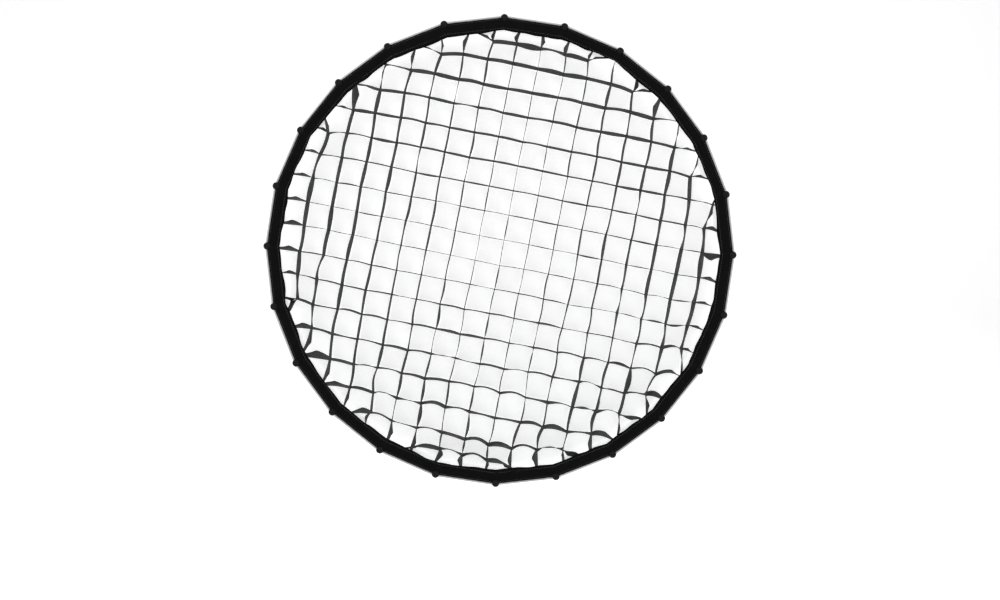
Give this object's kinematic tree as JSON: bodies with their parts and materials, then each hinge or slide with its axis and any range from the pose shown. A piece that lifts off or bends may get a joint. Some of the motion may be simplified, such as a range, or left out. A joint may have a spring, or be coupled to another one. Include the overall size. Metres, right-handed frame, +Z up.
{
  "type": "octabox",
  "caption": "Deep round folding softbox with curved ribs, cloth canopy, recessed diffuser and fabric egg-crate grid, on a bayonet speed ring.",
  "frame": {"origin": "centre of the mount insert's rear face, on the optical axis", "axes": "+Y points backwards along the optical axis out of the light throat, so the open front faces -Y; +Z is up"},
  "size_m": [1.2014, 0.6098, 1.2014],
  "materials": {
    "insert_steel": "turned and zinc plated",
    "ring_black": "fine satin powder coat",
    "sleeve_aluminium": "clear anodised",
    "runner_nylon": "glass-filled nylon",
    "pin_steel": "ground and plated",
    "knob_plastic": "fine moulded texture",
    "rib_fibreglass": "pultruded rod, moulded nylon ends",
    "canopy_cloth": "black woven nylon, silver lined",
    "diffusion_cloth": "white diffusion nylon, lit from behind",
    "grid_cloth": "black woven nylon ribbon"
  },
  "bodies": {
    "mount": {"mount_insert": "insert_steel", "retaining_ring": "insert_steel"},
    "ring": {"speed_ring": "ring_black", "guide_sleeve": "sleeve_aluminium", "hinge_pins": "pin_steel", "inner_baffle": "diffusion_cloth", "front_diffuser": "diffusion_cloth", "egg_crate_grid": "grid_cloth"},
    "runner": {"runner_collar": "runner_nylon"},
    "lock_1": {"lock_bolt_1": "pin_steel"},
    "lock_2": {"lock_bolt_2": "pin_steel"},
    "knob": {"rotation_knob": "knob_plastic"},
    "rib_body_01": {"rib_01": "rib_fibreglass", "canopy_gore_01": "canopy_cloth"},
    "rib_body_02": {"rib_02": "rib_fibreglass", "canopy_gore_02": "canopy_cloth"},
    "rib_body_03": {"rib_03": "rib_fibreglass", "canopy_gore_03": "canopy_cloth"},
    "rib_body_04": {"rib_04": "rib_fibreglass", "canopy_gore_04": "canopy_cloth"},
    "rib_body_05": {"rib_05": "rib_fibreglass", "canopy_gore_05": "canopy_cloth"},
    "rib_body_06": {"rib_06": "rib_fibreglass", "canopy_gore_06": "canopy_cloth"},
    "rib_body_07": {"rib_07": "rib_fibreglass", "canopy_gore_07": "canopy_cloth"},
    "rib_body_08": {"rib_08": "rib_fibreglass", "canopy_gore_08": "canopy_cloth"},
    "rib_body_09": {"rib_09": "rib_fibreglass", "canopy_gore_09": "canopy_cloth"},
    "rib_body_10": {"rib_10": "rib_fibreglass", "canopy_gore_10": "canopy_cloth"},
    "rib_body_11": {"rib_11": "rib_fibreglass", "canopy_gore_11": "canopy_cloth"},
    "rib_body_12": {"rib_12": "rib_fibreglass", "canopy_gore_12": "canopy_cloth"},
    "rib_body_13": {"rib_13": "rib_fibreglass", "canopy_gore_13": "canopy_cloth"},
    "rib_body_14": {"rib_14": "rib_fibreglass", "canopy_gore_14": "canopy_cloth"},
    "rib_body_15": {"rib_15": "rib_fibreglass", "canopy_gore_15": "canopy_cloth"},
    "rib_body_16": {"rib_16": "rib_fibreglass", "canopy_gore_16": "canopy_cloth"},
    "rib_body_17": {"rib_17": "rib_fibreglass", "canopy_gore_17": "canopy_cloth"},
    "rib_body_18": {"rib_18": "rib_fibreglass", "canopy_gore_18": "canopy_cloth"},
    "rib_body_19": {"rib_19": "rib_fibreglass", "canopy_gore_19": "canopy_cloth"},
    "rib_body_20": {"rib_20": "rib_fibreglass", "canopy_gore_20": "canopy_cloth"},
    "rib_body_21": {"rib_21": "rib_fibreglass", "canopy_gore_21": "canopy_cloth"},
    "rib_body_22": {"rib_22": "rib_fibreglass", "canopy_gore_22": "canopy_cloth"},
    "rib_body_23": {"rib_23": "rib_fibreglass", "canopy_gore_23": "canopy_cloth"},
    "rib_body_24": {"rib_24": "rib_fibreglass", "canopy_gore_24": "canopy_cloth"}
  },
  "joints": [
    {"name": "ring_rotation", "type": "hinge", "parent": "mount", "child": "ring", "pos_m": [0, 0, 0], "axis": [0, 1, 0], "continuous": true},
    {"name": "rib_fold_01", "type": "hinge", "parent": "ring", "child": "rib_body_01", "pos_m": [0.08, -0.0445, 0], "axis": [0, 0, -1], "range_deg": [0, 40], "deforming": ["canopy_gore_01", "canopy_gore_02", "canopy_gore_03", "canopy_gore_04", "canopy_gore_05", "canopy_gore_06", "canopy_gore_07", "canopy_gore_08", "canopy_gore_09", "canopy_gore_10", "canopy_gore_11", "canopy_gore_12", "canopy_gore_13", "canopy_gore_14", "canopy_gore_15", "canopy_gore_16", "canopy_gore_17", "canopy_gore_18", "canopy_gore_19", "canopy_gore_20", "canopy_gore_21", "canopy_gore_22", "canopy_gore_23", "canopy_gore_24", "inner_baffle", "front_diffuser", "egg_crate_grid"]},
    {"name": "rib_fold_02", "type": "hinge", "parent": "ring", "child": "rib_body_02", "pos_m": [0.07727, -0.0445, 0.02071], "axis": [0.2588, 0, -0.9659], "range_deg": [0, 40]},
    {"name": "rib_fold_03", "type": "hinge", "parent": "ring", "child": "rib_body_03", "pos_m": [0.06928, -0.0445, 0.04], "axis": [0.5, 0, -0.866], "range_deg": [0, 40]},
    {"name": "rib_fold_04", "type": "hinge", "parent": "ring", "child": "rib_body_04", "pos_m": [0.05657, -0.0445, 0.05657], "axis": [0.7071, 0, -0.7071], "range_deg": [0, 40]},
    {"name": "rib_fold_05", "type": "hinge", "parent": "ring", "child": "rib_body_05", "pos_m": [0.04, -0.0445, 0.06928], "axis": [0.866, 0, -0.5], "range_deg": [0, 40]},
    {"name": "rib_fold_06", "type": "hinge", "parent": "ring", "child": "rib_body_06", "pos_m": [0.02071, -0.0445, 0.07727], "axis": [0.9659, 0, -0.2588], "range_deg": [0, 40]},
    {"name": "rib_fold_07", "type": "hinge", "parent": "ring", "child": "rib_body_07", "pos_m": [0, -0.0445, 0.08], "axis": [1, 0, 0], "range_deg": [0, 40]},
    {"name": "rib_fold_08", "type": "hinge", "parent": "ring", "child": "rib_body_08", "pos_m": [-0.02071, -0.0445, 0.07727], "axis": [0.9659, 0, 0.2588], "range_deg": [0, 40]},
    {"name": "rib_fold_09", "type": "hinge", "parent": "ring", "child": "rib_body_09", "pos_m": [-0.04, -0.0445, 0.06928], "axis": [0.866, 0, 0.5], "range_deg": [0, 40]},
    {"name": "rib_fold_10", "type": "hinge", "parent": "ring", "child": "rib_body_10", "pos_m": [-0.05657, -0.0445, 0.05657], "axis": [0.7071, 0, 0.7071], "range_deg": [0, 40]},
    {"name": "rib_fold_11", "type": "hinge", "parent": "ring", "child": "rib_body_11", "pos_m": [-0.06928, -0.0445, 0.04], "axis": [0.5, 0, 0.866], "range_deg": [0, 40]},
    {"name": "rib_fold_12", "type": "hinge", "parent": "ring", "child": "rib_body_12", "pos_m": [-0.07727, -0.0445, 0.02071], "axis": [0.2588, 0, 0.9659], "range_deg": [0, 40]},
    {"name": "rib_fold_13", "type": "hinge", "parent": "ring", "child": "rib_body_13", "pos_m": [-0.08, -0.0445, 0], "axis": [0, 0, 1], "range_deg": [0, 40]},
    {"name": "rib_fold_14", "type": "hinge", "parent": "ring", "child": "rib_body_14", "pos_m": [-0.07727, -0.0445, -0.02071], "axis": [-0.2588, 0, 0.9659], "range_deg": [0, 40]},
    {"name": "rib_fold_15", "type": "hinge", "parent": "ring", "child": "rib_body_15", "pos_m": [-0.06928, -0.0445, -0.04], "axis": [-0.5, 0, 0.866], "range_deg": [0, 40]},
    {"name": "rib_fold_16", "type": "hinge", "parent": "ring", "child": "rib_body_16", "pos_m": [-0.05657, -0.0445, -0.05657], "axis": [-0.7071, 0, 0.7071], "range_deg": [0, 40]},
    {"name": "rib_fold_17", "type": "hinge", "parent": "ring", "child": "rib_body_17", "pos_m": [-0.04, -0.0445, -0.06928], "axis": [-0.866, 0, 0.5], "range_deg": [0, 40]},
    {"name": "rib_fold_18", "type": "hinge", "parent": "ring", "child": "rib_body_18", "pos_m": [-0.02071, -0.0445, -0.07727], "axis": [-0.9659, 0, 0.2588], "range_deg": [0, 40]},
    {"name": "rib_fold_19", "type": "hinge", "parent": "ring", "child": "rib_body_19", "pos_m": [0, -0.0445, -0.08], "axis": [-1, 0, 0], "range_deg": [0, 40]},
    {"name": "rib_fold_20", "type": "hinge", "parent": "ring", "child": "rib_body_20", "pos_m": [0.02071, -0.0445, -0.07727], "axis": [-0.9659, 0, -0.2588], "range_deg": [0, 40]},
    {"name": "rib_fold_21", "type": "hinge", "parent": "ring", "child": "rib_body_21", "pos_m": [0.04, -0.0445, -0.06928], "axis": [-0.866, 0, -0.5], "range_deg": [0, 40]},
    {"name": "rib_fold_22", "type": "hinge", "parent": "ring", "child": "rib_body_22", "pos_m": [0.05657, -0.0445, -0.05657], "axis": [-0.7071, 0, -0.7071], "range_deg": [0, 40]},
    {"name": "rib_fold_23", "type": "hinge", "parent": "ring", "child": "rib_body_23", "pos_m": [0.06928, -0.0445, -0.04], "axis": [-0.5, 0, -0.866], "range_deg": [0, 40]},
    {"name": "rib_fold_24", "type": "hinge", "parent": "ring", "child": "rib_body_24", "pos_m": [0.07727, -0.0445, -0.02071], "axis": [-0.2588, 0, -0.9659], "range_deg": [0, 40]},
    {"name": "runner_slide", "type": "slide", "parent": "ring", "child": "runner", "axis": [0, 1, 0], "range_m": [0, 0.01369]},
    {"name": "lock_1_slide", "type": "slide", "parent": "ring", "child": "lock_1", "axis": [0.9914, 0, 0.1305], "range_m": [-0.008, 0]},
    {"name": "lock_2_slide", "type": "slide", "parent": "ring", "child": "lock_2", "axis": [-0.9914, 0, -0.1305], "range_m": [-0.008, 0]},
    {"name": "knob_turn", "type": "hinge", "parent": "ring", "child": "knob", "pos_m": [0, -0.0045, -0.1], "axis": [0, 0, -1], "range_deg": [0, 180]}
  ],
  "couplings": [
    {"joint": "rib_fold_02", "follows": "rib_fold_01", "ratio": 1},
    {"joint": "rib_fold_03", "follows": "rib_fold_01", "ratio": 1},
    {"joint": "rib_fold_04", "follows": "rib_fold_01", "ratio": 1},
    {"joint": "rib_fold_05", "follows": "rib_fold_01", "ratio": 1},
    {"joint": "rib_fold_06", "follows": "rib_fold_01", "ratio": 1},
    {"joint": "rib_fold_07", "follows": "rib_fold_01", "ratio": 1},
    {"joint": "rib_fold_08", "follows": "rib_fold_01", "ratio": 1},
    {"joint": "rib_fold_09", "follows": "rib_fold_01", "ratio": 1},
    {"joint": "rib_fold_10", "follows": "rib_fold_01", "ratio": 1},
    {"joint": "rib_fold_11", "follows": "rib_fold_01", "ratio": 1},
    {"joint": "rib_fold_12", "follows": "rib_fold_01", "ratio": 1},
    {"joint": "rib_fold_13", "follows": "rib_fold_01", "ratio": 1},
    {"joint": "rib_fold_14", "follows": "rib_fold_01", "ratio": 1},
    {"joint": "rib_fold_15", "follows": "rib_fold_01", "ratio": 1},
    {"joint": "rib_fold_16", "follows": "rib_fold_01", "ratio": 1},
    {"joint": "rib_fold_17", "follows": "rib_fold_01", "ratio": 1},
    {"joint": "rib_fold_18", "follows": "rib_fold_01", "ratio": 1},
    {"joint": "rib_fold_19", "follows": "rib_fold_01", "ratio": 1},
    {"joint": "rib_fold_20", "follows": "rib_fold_01", "ratio": 1},
    {"joint": "rib_fold_21", "follows": "rib_fold_01", "ratio": 1},
    {"joint": "rib_fold_22", "follows": "rib_fold_01", "ratio": 1},
    {"joint": "rib_fold_23", "follows": "rib_fold_01", "ratio": 1},
    {"joint": "rib_fold_24", "follows": "rib_fold_01", "ratio": 1},
    {"joint": "runner_slide", "follows": "rib_fold_01", "m_per_rad": 0.019596}
  ]
}
